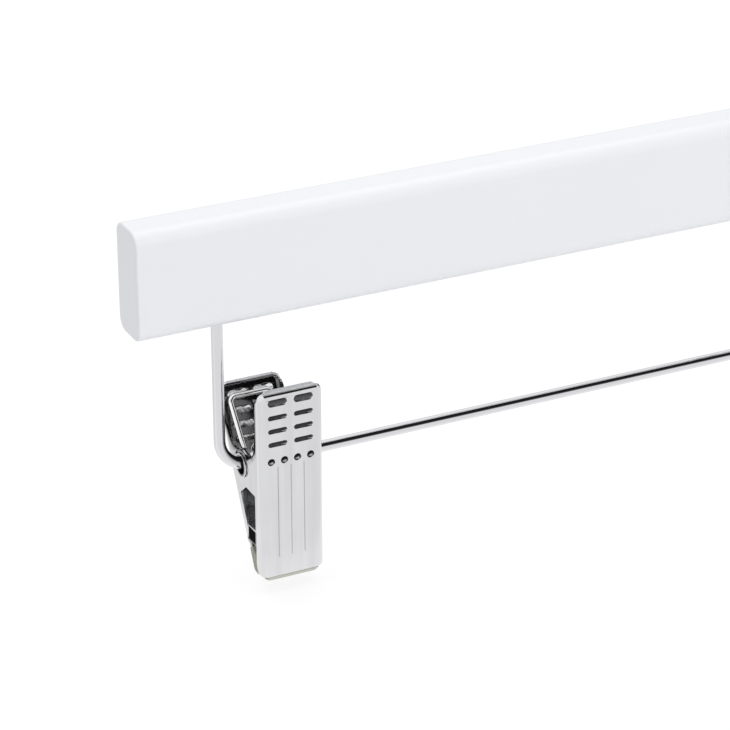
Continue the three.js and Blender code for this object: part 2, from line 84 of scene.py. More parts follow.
bar_low, bar_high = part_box("hanger_bar")
view_right = Vector((math.cos(VIEW_AZIMUTH), math.sin(VIEW_AZIMUTH), 0))
view_back = Vector((
    math.sin(VIEW_AZIMUTH) * math.cos(VIEW_HEIGHT),
    -math.cos(VIEW_AZIMUTH) * math.cos(VIEW_HEIGHT),
    math.sin(VIEW_HEIGHT),
))
view_turn = Matrix((view_right, view_back.cross(view_right), view_back)).transposed()
view_turn = view_turn @ Matrix.Rotation(VIEW_ROLL, 3, "Z")
eye = Vector((bar_low.x, 0, bar_low.z)) + EYE_FROM_BAR_CORNER
bpy.ops.object.camera_add()
camera = bpy.context.object
camera.matrix_world = Matrix.Translation(eye) @ view_turn.to_4x4()
camera.data.sensor_width = SENSOR_WIDTH
camera.data.lens = FOCAL_PIXELS * SENSOR_WIDTH / PHOTO_PIXELS
camera.data.clip_start = NEAREST_SEEN
bpy.context.scene.camera = camera
bpy.context.scene.view_settings.view_transform = "Standard"


# The table top and the air round it are white where the lens or a polished surface sees them, and
# plain elsewhere. The table keeps the clips' soft shadow, and its mirror image dims in front and behind.
FLOOR_CLEARANCE = 0.0025
FLOOR_HALF = 4
FLOOR_GLOW = 0.8
FLOOR_TONE = (0.24, 0.24, 0.24, 1)
PLAIN_TONE = (0.8, 0.8, 0.8, 1)
WHITE = (1, 1, 1, 1)
MIRRORED_FRONT = (0.9, 0.9, 0.905, 1)
MIRRORED_BACK = (0.85, 0.85, 0.855, 1)
DIM_FRONT = (-0.014, -0.032)
DIM_BACK = (0.015, 0.035)
AIR_TONE = (0.98, 0.99, 1, 1)
AMBIENT = 0.68


class Flow:
    """One socket in a material's nodes, so that shader maths reads as plain sums."""

    def __init__(self, socket):
        self.socket = socket
        self.tree = socket.id_data

    def node(self, kind, settings=None, values=None, output=0):
        """Adds a node of a kind, with its settings and with values or links for its sockets."""
        made = self.tree.nodes.new(kind)
        for name, value in (settings or {}).items():
            setattr(made, name, value)
        for name, value in (values or {}).items():
            if isinstance(value, Flow):
                self.tree.links.new(value.socket, made.inputs[name])
            else:
                made.inputs[name].default_value = value
        return Flow(made.outputs[output])

    def sum(self, operation, first, second):
        return self.node("ShaderNodeMath", {"operation": operation}, {0: first, 1: second})

    def __add__(self, other):
        return self.sum("ADD", self, other)

    def __radd__(self, other):
        return self.sum("ADD", other, self)

    def __mul__(self, other):
        return self.sum("MULTIPLY", self, other)

    def __rmul__(self, other):
        return self.sum("MULTIPLY", other, self)

    def at_least(self, other):
        return self.sum("MAXIMUM", self, other)

    def portion(self, start, end):
        """How far the value has come from start to end, between 0 and 1."""
        return self.node("ShaderNodeMapRange", None, {0: self, 1: start, 2: end})

    def shade(self, low, high):
        """Goes from one colour to the other as the value goes from 0 to 1."""
        return self.node("ShaderNodeMix", {"data_type": "RGBA"}, {0: self, 6: low, 7: high}, 2)

    def into(self, node, name):
        self.tree.links.new(self.socket, node.inputs[name])


def sight(nodes):
    """Whether a ray comes from the lens, and whether it comes by way of a polished or clear surface."""
    rays = nodes.new("ShaderNodeLightPath").outputs
    mirrored = Flow(rays["Is Glossy Ray"]).at_least(Flow(rays["Is Transmission Ray"]))
    return Flow(rays["Is Camera Ray"]), mirrored


floor_height = solid_bounds[0][2] - FLOOR_CLEARANCE
bpy.ops.object.select_all(action="DESELECT")
bpy.ops.mesh.primitive_plane_add(size=2 * FLOOR_HALF, location=(0, 0, floor_height))
table_top = bpy.context.object
table_top.name = "table_top"
table_white = bpy.data.materials.new("table_white")
table_white.use_nodes = True
nodes = table_white.node_tree.nodes
nodes.clear()
seen, mirrored = sight(nodes)
place = seen.node("ShaderNodeTexCoord", None, None, "Object")
ahead = seen.node("ShaderNodeSeparateXYZ", None, {0: place}, "Y")
image_tone = ahead.portion(*DIM_FRONT).shade(WHITE, MIRRORED_FRONT)
image_tone = ahead.portion(*DIM_BACK).shade(image_tone, MIRRORED_BACK)
image = seen.node("ShaderNodeEmission", None, {"Color": image_tone})
lit = seen.node("ShaderNodeBsdfDiffuse", None, {"Color": FLOOR_TONE})
glow = seen.node("ShaderNodeEmission", None, {"Color": WHITE, "Strength": FLOOR_GLOW})
glowing = seen.node("ShaderNodeAddShader", None, {0: lit, 1: glow})
plain = seen.node("ShaderNodeBsdfDiffuse", None, {"Color": PLAIN_TONE})
direct = seen.node("ShaderNodeMixShader", None, {0: seen, 1: plain, 2: glowing})
surface = seen.node("ShaderNodeMixShader", None, {0: mirrored, 1: direct, 2: image})
surface.into(nodes.new("ShaderNodeOutputMaterial"), "Surface")
table_top.data.materials.append(table_white)

air = bpy.data.worlds.new("studio_air")
air.use_nodes = True
bpy.context.scene.world = air
nodes = air.node_tree.nodes
nodes.clear()
seen, mirrored = sight(nodes)
white_air = seen.node("ShaderNodeBackground", None, {"Color": WHITE, "Strength": 1})
plain_air = seen.node("ShaderNodeBackground", None, {"Color": AIR_TONE, "Strength": AMBIENT})
in_sight = seen.at_least(mirrored)
surface = seen.node("ShaderNodeMixShader", None, {0: in_sight, 1: plain_air, 2: white_air})
surface.into(nodes.new("ShaderNodeOutputWorld"), "Surface")


# Two soft boxes light the set evenly, a wide one overhead and a smaller one at the front right. They
# don't show in polished surfaces, which mirror the white air instead.
CLIP_INSET = 0.04
CLIP_DROP = 0.04

clip_middle = Vector((bar_low.x + CLIP_INSET, 0, bar_low.z - CLIP_DROP))


def soft_box(name, place, width, height, watts):
    bpy.ops.object.light_add(type="AREA", location=place)
    lamp = bpy.context.object
    lamp.name = name
    lamp.rotation_euler = (clip_middle - Vector(place)).to_track_quat("-Z", "Y").to_euler()
    lamp.data.shape = "RECTANGLE"
    lamp.data.size = width
    lamp.data.size_y = height
    lamp.data.energy = watts
    lamp.visible_glossy = False


soft_box("box_overhead", place=(-0.1, 0.25, 1.1), width=1.4, height=1.0, watts=6.4)
soft_box("box_front", place=(0.35, -1.3, 0.35), width=1.2, height=0.9, watts=5.8)


# Black and grey cloth flags stand round the set, seen only in polished surfaces: bright wire in a
# white room needs something dark to mirror. Angles are in degrees round the clip and above it.
FLAG_COLUMNS = 24
FLAG_ROWS = 12


def flag(name, azimuths, heights, distance, low_tone, high_tone):
    bpy.ops.mesh.primitive_grid_add(x_subdivisions=FLAG_COLUMNS, y_subdivisions=FLAG_ROWS, size=1)
    panel = bpy.context.object
    panel.name = name
    for vertex in panel.data.vertices:
        turn = math.radians(azimuths[0] + (vertex.co.x + 0.5) * (azimuths[1] - azimuths[0]))
        rise = math.radians(heights[0] + (vertex.co.y + 0.5) * (heights[1] - heights[0]))
        level = math.cos(rise)
        out = Vector((math.sin(turn) * level, -math.cos(turn) * level, math.sin(rise)))
        vertex.co = clip_middle + distance * out
    cloth = bpy.data.materials.new(name)
    cloth.use_nodes = True
    nodes = cloth.node_tree.nodes
    nodes.clear()
    place = Flow(nodes.new("ShaderNodeTexCoord").outputs["Object"])
    up = place.node("ShaderNodeSeparateXYZ", None, {0: place}, "Z")
    bottom, top = (clip_middle.z + distance * math.sin(math.radians(height)) for height in heights)
    tone = up.portion(bottom, top).shade((*low_tone, 1), (*high_tone, 1))
    glow = tone.node("ShaderNodeEmission", None, {"Color": tone})
    glow.into(nodes.new("ShaderNodeOutputMaterial"), "Surface")
    panel.data.materials.append(cloth)
    panel.visible_camera = False
    panel.visible_diffuse = False
    panel.visible_shadow = False
    panel.visible_transmission = False


flag("flag_front_low", azimuths=(4, 70), heights=(4, 11), distance=1.5,
     low_tone=(0.8, 0.8, 0.81), high_tone=(0.28, 0.28, 0.29))
flag("flag_front_middle", azimuths=(4, 70), heights=(11, 22), distance=1.5,
     low_tone=(0.28, 0.28, 0.29), high_tone=(0.05, 0.048, 0.048))
flag("flag_front_high", azimuths=(4, 70), heights=(22, 76), distance=1.5,
     low_tone=(0.012, 0.012, 0.013), high_tone=(0.02, 0.02, 0.02))
flag("flag_side", azimuths=(70, 112), heights=(22, 76), distance=1.5,
     low_tone=(0.3, 0.295, 0.29), high_tone=(0.42, 0.415, 0.41))
flag("flag_right", azimuths=(95, 135), heights=(-1.4, 20), distance=1.4,
     low_tone=(0.02, 0.02, 0.02), high_tone=(0.06, 0.06, 0.06))
flag("flag_back", azimuths=(140, 255), heights=(4, 26), distance=1.6,
     low_tone=(0.85, 0.85, 0.86), high_tone=(0.72, 0.72, 0.73))


# The bar: a planed wooden slat with rounded long edges, sprayed with white lacquer. It is bored for
# the hook from above, pocketed for its nut from below, and drilled for the rail's two legs.
BAR_EDGE_ROUND = 0.0032
BAR_END_ROUND = 0.0005
BORE_RIM = 0.00025
SEAT_GAP = 0.0003
BUSH_FLANGE_RADIUS = 0.0035
BUSH_FLANGE = 0.0008
BUSH_RADIUS = 0.003
BUSH_LENGTH = 0.009
STEM_BORE = 0.0021
POCKET_RADIUS = 0.0043
POCKET_DEPTH = 0.0052
RAIL_WIRE = 0.0028
RAIL_SOCKET = 0.015
OVERCUT = 0.002
LONG_EDGE = 0.1
SAME_PLACE = 1e-6
BORE_FACETS = 64
LACQUER_TONES = ((0.835, 0.845, 0.868, 1), (0.862, 0.87, 0.888, 1))


def alone(piece):
    bpy.ops.object.select_all(action="DESELECT")
    piece.select_set(True)
    bpy.context.view_layer.objects.active = piece


def pick_edges(piece, chosen):
    mesh = bmesh.from_edit_mesh(piece.data)
    for part in (*mesh.verts, *mesh.edges, *mesh.faces):
        part.select_set(False)
    for edge in mesh.edges:
        if chosen(edge, *(corner.co for corner in edge.verts)):
            edge.select_set(True)
    bmesh.update_edit_mesh(piece.data)


def apply_modifier(piece, kind, **settings):
    alone(piece)
    modifier = piece.modifiers.new(kind.lower(), kind)
    for name, value in settings.items():
        setattr(modifier, name, value)
    bpy.ops.object.modifier_apply(modifier=modifier.name)


def drill(piece, radius, x, low, high):
    bpy.ops.object.select_all(action="DESELECT")
    bpy.ops.mesh.primitive_cylinder_add(
        vertices=BORE_FACETS, radius=radius, depth=high - low, location=(x, 0, (low + high) / 2))
    cutter = bpy.context.object
    apply_modifier(piece, "BOOLEAN", operation="DIFFERENCE", object=cutter, solver="EXACT")
    bpy.data.objects.remove(cutter)


def break_edges(piece, width, segments, degrees):
    apply_modifier(piece, "BEVEL", width=width, segments=segments, limit_method="ANGLE",
                   angle_limit=math.radians(degrees))


def smooth(piece, degrees):
    alone(piece)
    bpy.ops.object.shade_smooth_by_angle(angle=math.radians(degrees))


bpy.ops.object.select_all(action="DESELECT")
bpy.ops.mesh.primitive_cube_add(size=1, location=(bar_low + bar_high) / 2, scale=bar_high - bar_low)
bar = bpy.context.object
bar.name = "lacquered_bar"
bpy.ops.object.transform_apply(location=True, rotation=False, scale=True)
bpy.ops.object.mode_set(mode="EDIT")
pick_edges(bar, lambda edge, a, b: abs(a.x - b.x) > LONG_EDGE)
bpy.ops.mesh.bevel(offset=BAR_EDGE_ROUND, segments=14, affect="EDGES")
pick_edges(bar, lambda edge, a, b: max(abs(a.x - b.x), abs(abs(a.x) - bar_high.x)) < SAME_PLACE)
bpy.ops.mesh.bevel(offset=BAR_END_ROUND, segments=5, affect="EDGES")
bpy.ops.object.mode_set(mode="OBJECT")
legs_low, legs_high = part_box("rail_wire")
leg_x = legs_high.x - RAIL_WIRE / 2
above = bar_high.z + OVERCUT
below = bar_low.z - OVERCUT
drill(bar, BUSH_FLANGE_RADIUS + SEAT_GAP, 0, bar_high.z - BUSH_FLANGE - SEAT_GAP, above)
drill(bar, BUSH_RADIUS + SEAT_GAP, 0, bar_high.z - BUSH_LENGTH - SEAT_GAP, above)
drill(bar, STEM_BORE, 0, below, above)
drill(bar, POCKET_RADIUS, 0, below, bar_low.z + POCKET_DEPTH)
for leg in (-leg_x, leg_x):
    drill(bar, RAIL_WIRE / 2 + SEAT_GAP, leg, below, bar_low.z + RAIL_SOCKET)
break_edges(bar, BORE_RIM, segments=2, degrees=60)
smooth(bar, degrees=30)
apply_modifier(bar, "WEIGHTED_NORMAL", keep_sharp=True)


def new_finish(name, **fixed):
    material = bpy.data.materials.new(name)
    material.use_nodes = True
    shader = material.node_tree.nodes["Principled BSDF"]
    for socket, value in fixed.items():
        shader.inputs[socket.replace("_", " ")].default_value = value
    place = Flow(material.node_tree.nodes.new("ShaderNodeTexCoord").outputs["Object"])
    return material, shader, place


def grain(place, scale, detail=3, stretch=(1, 1, 1)):
    drawn = place.node("ShaderNodeMapping", None, {"Vector": place, "Scale": stretch})
    return place.node("ShaderNodeTexNoise", None, {
        "Vector": drawn, "Scale": scale, "Detail": detail}, "Fac")


def relief(height, strength, distance):
    return height.node("ShaderNodeBump", None, {
        "Height": height, "Strength": strength, "Distance": distance}, "Normal")


white_lacquer, shader, place = new_finish(
    "white_lacquer", Coat_Weight=0.15, Coat_Roughness=0.25, Specular_IOR_Level=0.4)
wood = grain(place, scale=90, detail=5, stretch=(0.06, 1, 1.6))
spray = grain(place, scale=1300, detail=2)
cloud = grain(place, scale=22)
(wood * 0.35 + cloud * 0.65).shade(*LACQUER_TONES).into(shader, "Base Color")
(0.3 + cloud * 0.1 + spray * 0.06).into(shader, "Roughness")
relief(wood * 0.4 + spray * 0.6, strength=0.25, distance=0.00004).into(shader, "Normal")
bar.data.materials.append(white_lacquer)
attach(bar, "bar")
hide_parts("hanger_bar")


# The rail: one length of chromed steel wire, bent up square at both ends on a small former, with its
# legs pressed into the bar from below. The inside of each bend is painted matt black as shade.
RAIL_BEND = 0.0075
BEND_STEPS = 28
BEND_SHADE_RISE = 0.009
BEND_SHADE_FACING = (0.3, 0.55)
WIRE_STEP = 0.012
WIRE_FACETS = 14
CHROME_TONES = ((0.73, 0.725, 0.75, 1), (0.8, 0.795, 0.815, 1))
SHADE_BLACK = (0.012, 0.012, 0.012, 1)
X_AXIS = Vector((1, 0, 0))
Y_AXIS = Vector((0, 1, 0))
UP = Vector((0, 0, 1))


def run(points, direction, length, longest=WIRE_STEP):
    pieces = max(2, math.ceil(length / longest))
    start = points[-1].copy()
    for step in range(1, pieces + 1):
        points.append(start + direction * (length * step / pieces))


def curl(points, centre, axis, angle, steps, climb=0):
    arm = points[-1] - centre
    for step in range(1, steps + 1):
        share = step / steps
        swung = Matrix.Rotation(angle * share, 3, axis) @ arm
        points.append(centre + swung + axis * (climb * share))


def new_curve(name, dimensions):
    bpy.ops.object.select_all(action="DESELECT")
    bpy.ops.curve.primitive_nurbs_path_add(location=(0, 0, 0))
    piece = bpy.context.object
    piece.name = name
    piece.data.splines.clear()
    piece.data.dimensions = dimensions
    return piece


def wire(name, points, diameter, facets, tip_radii=()):
    line = new_curve(name, "3D").data
    line.twist_mode = "MINIMUM"
    spline = line.splines.new("POLY")
    spline.points.add(len(points) - 1)
    for place, point in zip(spline.points, points):
        place.co = (*point, 1)
        place.radius = 1
    for place, share in zip(reversed(spline.points), reversed(tip_radii)):
        place.radius = share
    line.bevel_depth = diameter / 2
    line.bevel_resolution = facets
    line.use_fill_caps = True
    bpy.ops.object.convert(target="MESH")
    piece = bpy.context.object
    bpy.ops.object.mode_set(mode="EDIT")
    bpy.ops.mesh.select_all(action="SELECT")
    bpy.ops.mesh.remove_doubles(threshold=SAME_PLACE)
    bpy.ops.mesh.normals_make_consistent(inside=False)
    bpy.ops.object.mode_set(mode="OBJECT")
    smooth(piece, degrees=50)
    return piece


def portion(value, start, end):
    return min(max((value - start) / (end - start), 0), 1)


def stored(place, name):
    """A share that the mesh holds at each of its points."""
    return place.node("ShaderNodeAttribute", {"attribute_name": name}, None, "Fac")


def blacken(material, shader, share):
    """Lays a matt black over part of a polished finish: painted shade, as strong as the share."""
    black = share.node("ShaderNodeBsdfDiffuse", None, {"Color": SHADE_BLACK})
    polished = Flow(shader.outputs["BSDF"])
    mixed = share.node("ShaderNodeMixShader", None, {0: share, 1: polished, 2: black})
    mixed.into(material.node_tree.nodes["Material Output"], "Surface")


rail_height = legs_low.z + RAIL_WIRE / 2
bend_x = leg_x - RAIL_BEND
bend_height = rail_height + RAIL_BEND
path = [Vector((-leg_x, 0, legs_high.z))]
run(path, -UP, legs_high.z - bend_height)
curl(path, Vector((-bend_x, 0, bend_height)), Y_AXIS, -math.pi / 2, BEND_STEPS)
run(path, X_AXIS, 2 * bend_x)
curl(path, Vector((bend_x, 0, bend_height)), Y_AXIS, -math.pi / 2, BEND_STEPS)
run(path, UP, legs_high.z - bend_height)
rail = wire("chromed_rail", path, RAIL_WIRE, WIRE_FACETS)
# Painted shade: a share of matt black on the inside of each bend, on the faces towards its centre.
bend_shade = rail.data.attributes.new("bend_shade", "FLOAT", "POINT")
for vertex in rail.data.vertices:
    inwards = Vector((math.copysign(bend_x, vertex.co.x), 0, bend_height)) - vertex.co
    inwards.y = 0
    if vertex.co.z > bend_height:
        inwards.z = 0
    facing = vertex.normal.dot(inwards.normalized())
    in_bend = abs(vertex.co.x) > bend_x and vertex.co.z < bend_height + BEND_SHADE_RISE
    bend_shade.data[vertex.index].value = in_bend * portion(facing, *BEND_SHADE_FACING)

chromed_wire, shader, place = new_finish("chromed_wire", Metallic=1)
haze = grain(place, scale=60)
drawing = grain(place, scale=2600, detail=2, stretch=(0.05, 1, 1))
haze.shade(*CHROME_TONES).into(shader, "Base Color")
(0.03 + haze * 0.04 + drawing * 0.02).into(shader, "Roughness")
relief(drawing * 0.5 + haze, strength=0.06, distance=0.00005).into(shader, "Normal")
# The chrome turns matt black inside the bends: painted shade.
blacken(chromed_wire, shader, stored(place, "bend_shade"))
rail.data.materials.append(chromed_wire)
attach(rail, "bar")
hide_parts("rail_wire")


# The hook: thicker chromed wire with a stem through the bar, a neck that leans out and a round bowl
# over the stem, its tip rounded off so that it snags nothing.
HOOK_WIRE = 0.0036
HOOK_RADIUS = 0.02
HOOK_LEAN = math.radians(60)
HOOK_TIP = math.radians(200)
BOWL_STEPS = 96
TIP_STEPS = 8
TIP_POINT = 0.02

bowl = Vector((0, 0, HOOK_WIRE / 2 - HOOK_RADIUS))
neck_radius = HOOK_RADIUS * math.cos(HOOK_LEAN) / (1 - math.cos(HOOK_LEAN))
neck_height = bowl.z - (HOOK_RADIUS + neck_radius) * math.sin(HOOK_LEAN)
stem_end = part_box("hook")[0].z
path = [Vector((0, 0, stem_end))]
run(path, UP, neck_height - stem_end)
curl(path, Vector((neck_radius, 0, neck_height)), Y_AXIS, HOOK_LEAN, BEND_STEPS)
curl(path, bowl, Y_AXIS, -HOOK_TIP - HOOK_LEAN, BOWL_STEPS)
tip_heading = (path[-1] - path[-2]).normalized()
tip_start = path[-1].copy()
tip_radii = []
for step in range(1, TIP_STEPS + 1):
    rise = math.pi / 2 * step / TIP_STEPS
    path.append(tip_start + tip_heading * (HOOK_WIRE / 2 * math.sin(rise)))
    tip_radii.append(max(math.cos(rise), TIP_POINT))
hook = wire("chromed_hook", path, HOOK_WIRE, WIRE_FACETS, tip_radii)
hook.data.materials.append(chromed_wire)
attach(hook, "hook")
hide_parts("hook")


# What holds the hook: a turned and chromed bush in the bar's top, and a stamped washer and a hexagon
# nut in the pocket below, both zinc plated.
TURNED_STEPS = 64
TURNED_WELD = 1e-7
BUSH_ROUND = 0.00015
WASHER_ROUND = 0.0001
NUT_ROUND = 0.00025
ZINC_TONES = ((0.58, 0.59, 0.61, 1), (0.7, 0.705, 0.72, 1))


def turned(name, corners, axis, round_off):
    bpy.ops.object.select_all(action="DESELECT")
    bpy.ops.mesh.primitive_circle_add(vertices=len(corners), fill_type="NOTHING")
    piece = bpy.context.object
    piece.name = name
    for vertex, (radius, along) in zip(piece.data.vertices, corners):
        vertex.co = Y_AXIS * radius + axis * along
    bpy.ops.object.mode_set(mode="EDIT")
    bpy.ops.mesh.select_all(action="SELECT")
    bpy.ops.mesh.bevel(offset=round_off, segments=3, affect="VERTICES")
    bpy.ops.mesh.select_all(action="SELECT")
    bpy.ops.mesh.spin(steps=TURNED_STEPS, angle=2 * math.pi, center=(0, 0, 0), axis=axis)
    bpy.ops.mesh.select_all(action="SELECT")
    bpy.ops.mesh.remove_doubles(threshold=TURNED_WELD)
    bpy.ops.mesh.normals_make_consistent(inside=False)
    bpy.ops.object.mode_set(mode="OBJECT")
    smooth(piece, degrees=40)
    return piece


bush_low, bush_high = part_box("hook_bush")
bush = turned("turned_bush", [
    (STEM_BORE, bush_low.z), (BUSH_RADIUS, bush_low.z),
    (BUSH_RADIUS, bush_high.z - BUSH_FLANGE), (BUSH_FLANGE_RADIUS, bush_high.z - BUSH_FLANGE),
    (BUSH_FLANGE_RADIUS, bush_high.z), (STEM_BORE, bush_high.z),
], UP, BUSH_ROUND)
bush.data.materials.append(chromed_wire)
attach(bush, "bar")
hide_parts("hook_bush")

zinc_plate, shader, place = new_finish("zinc_plate", Metallic=1)
spangle = place.node("ShaderNodeTexVoronoi", None, {"Vector": place, "Scale": 900}, "Distance")
haze = grain(place, scale=500)
(spangle * 0.5 + haze * 0.5).shade(*ZINC_TONES).into(shader, "Base Color")
(0.2 + haze * 0.15).into(shader, "Roughness")
relief(haze, strength=0.1, distance=0.00005).into(shader, "Normal")

washer_low, washer_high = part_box("hook_washer")
washer = turned("stamped_washer", [
    (STEM_BORE, washer_low.z), (washer_high.x, washer_low.z),
    (washer_high.x, washer_high.z), (STEM_BORE, washer_high.z),
], UP, WASHER_ROUND)
washer.data.materials.append(zinc_plate)
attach(washer, "bar")
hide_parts("hook_washer")

nut_low, nut_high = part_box("hook_nut")
bpy.ops.object.select_all(action="DESELECT")
bpy.ops.mesh.primitive_cylinder_add(
    vertices=6, radius=nut_high.x, depth=nut_high.z - nut_low.z,
    location=(0, 0, (nut_low.z + nut_high.z) / 2), rotation=(0, 0, math.pi / 6))
nut = bpy.context.object
nut.name = "hexagon_nut"
bpy.ops.object.transform_apply(location=True, rotation=True, scale=True)
drill(nut, STEM_BORE, 0, nut_low.z - OVERCUT, nut_high.z + OVERCUT)
break_edges(nut, NUT_ROUND, segments=3, degrees=40)
smooth(nut, degrees=30)
nut.data.materials.append(zinc_plate)
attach(nut, "hook")
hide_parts("hook_nut")


# The jaws: each is blanked from thin steel sheet, with slots, dots and grooves pressed into its face.
# Its sides are folded back into flanges with a round ear for the pivot, its top edge is rolled back, and
# it is chromed bright. Shade is painted into the chrome's colour in the slots and grooves, as a crescent
# on each dot, along the flanges' edges and on the inner face; the inner bulges get a painted highlight.
# The front one's sides also have a tab that lies between the jaws, painted matt black as shade.
MM = 0.001
JAW_WIDTH = 17
JAW_REACH = 26.45
JAW_ANGLE = math.radians(26.9)
FRONT_HANDLE = 22.65
REAR_HANDLE = 20.25
SHEET = 0.6
EDGE_BREAK = 0.00019
PIVOT_OFFSET = 9.8
STAGGER = 0.9
FOLD_RADIUS = 1.5
FOLD_STEPS = 10
FOLD_MARGIN = 0.1

LIP_TURN = math.radians(70)
LIP_EASE = 0.42
LIP_LENGTH = 2.2
LIP_END = 0.7
LIP_STEPS = 14
LIP_MARGIN = 0.06
ROLL_STEPS = 24
TOP_CORNER = 1.95
CORNER_STEPS = 9
CORNER_SCORES = 3
CORNER_ACROSS = 0.17
CORNER_UP = 0.09
BRIM_SPREAD = 1.1
BRIM_FLARE = 0.15
NECK_PULL = 0.1
NECK_DROP = 0.8

EAR_RADIUS = 4.0
EAR_HOLE = 3.05
EAR_FACETS = 48
EAR_RISE = 8.5
EAR_FOOT = 4.7
EAR_ARC = (-50, 112)
FLANGE_HANDLE = 2.1
FLANGE_STEP = 16.2
FLANGE_TOP = 4.5
CHEEK_DEPTH = 6.7
CHEEK_TOP = 14.5
CHEEK_FOOT = 18.4
CHEEK_RIM = 0.3
CHEEK_EDGE = 0.27

SLOT_LENGTH = 5
SLOT_HEIGHT = 1.35
SLOT_SPREAD = 6.7
SLOT_DROP = 6.7
SLOT_PITCH = 3.5
SLOT_ROWS = 3
SLOT_DEPTH = 0.6
SLOT_WALL = 0.16
SLOT_FLOOR_LOW = 0.04
TALL_SLOT_DEPTH = 0.72
TALL_SLOT_HEIGHT = 2
TALL_SLOT_DROP = 2.85
DOT_RADIUS = 0.95
DOT_DEPTH = 0.4
DOT_WALL = 0.2
DOT_DROP = 18.2
DOT_PITCH = 3.4
DOT_COUNT = 4
MARK_MARGIN = 0.01
GROOVE_DROP = 19.4
GROOVE_HALF = 0.2
GROOVE_DEPTH = 0.12
GROOVE_END = 4.8
GROOVE_FADE = 0.6
GROOVE_STEPS = 4
BLANK_WELD = 0.004

SHEET_TONES = ((0.64, 0.64, 0.655, 1), (0.88, 0.88, 0.89, 1))
BULGE_HIGHLIGHT_TONE = (0.95, 0.95, 0.95, 1)
# Painted shade: its dark tone, where it turns matt black, and its strength in slots, dots, grooves,
# edges.
PAINTED_SHADE_TONE = (0.035, 0.034, 0.033, 1)
BLACK_FROM = 0.86
SLOT_SHADE = 0.92
SLOT_ONSET = 9
SLOT_SHALLOW = 0.6
DOT_ONSET = 2
DOT_BAND = 1.1
DOT_CRESCENT = (-1.06, -0.85)
GROOVE_SHADE = 0.4
EDGE_SHADE = 0.97
EDGE_LOW = 1.5
EDGE_HIGH = 19
INSIDE_SHADE_SPAN = (-2, 6)
INSIDE_SHADE_LOW = 0.7

jaw_half = JAW_WIDTH / 2
flat_half = jaw_half - FOLD_RADIUS
fold_length = FOLD_RADIUS * math.pi / 2
corner_across = TOP_CORNER - FOLD_RADIUS


def developed(depth):
    """How far across the flat blank a point lies that ends up this deep behind the face."""
    if depth < FOLD_RADIUS:
        return flat_half + FOLD_RADIUS * math.acos(1 - depth / FOLD_RADIUS)
    return flat_half + fold_length + depth - FOLD_RADIUS


def arc(x, y, width, height, start, end, steps):
    """Points on part of an ellipse about a centre, between two angles in degrees."""
    turns = [math.radians(start + (end - start) * step / steps) for step in range(steps + 1)]
    return [(x + width * math.cos(turn), y + height * math.sin(turn)) for turn in turns]


def swept(start, pull, end, steps):
    """Points on a curve that leaves its start towards the pull and bends over to its end."""
    shares = [step / steps for step in range(1, steps + 1)]
    return [tuple(start.lerp(pull, share).lerp(pull.lerp(end, share), share)) for share in shares]


def fold_back(past):
    """How far out and back a folded side has come at this distance past the flat face."""
    bend = min(past / FOLD_RADIUS, math.pi / 2)
    return FOLD_RADIUS * math.sin(bend), FOLD_RADIUS * (1 - math.cos(bend)) + past - bend * FOLD_RADIUS


def roll_back(past):
    """How far up and back the rolled top edge has come, bending sharply at first and then less."""
    rise = 0
    depth = 0
    for step in range(ROLL_STEPS):
        turn = LIP_TURN * (1 - math.exp(-past * (step + 0.5) / ROLL_STEPS / LIP_EASE))
        rise += math.cos(turn) * past / ROLL_STEPS
        depth += math.sin(turn) * past / ROLL_STEPS
    return rise, depth


lip_height = roll_back(LIP_LENGTH)[0]
corner_rise = TOP_CORNER - lip_height


def corner_flat(turn):
    """The flat face's reach from the centre of its rounded top corner, in this direction."""
    return 1 / math.hypot(math.cos(turn) / corner_across, math.sin(turn) / corner_rise)


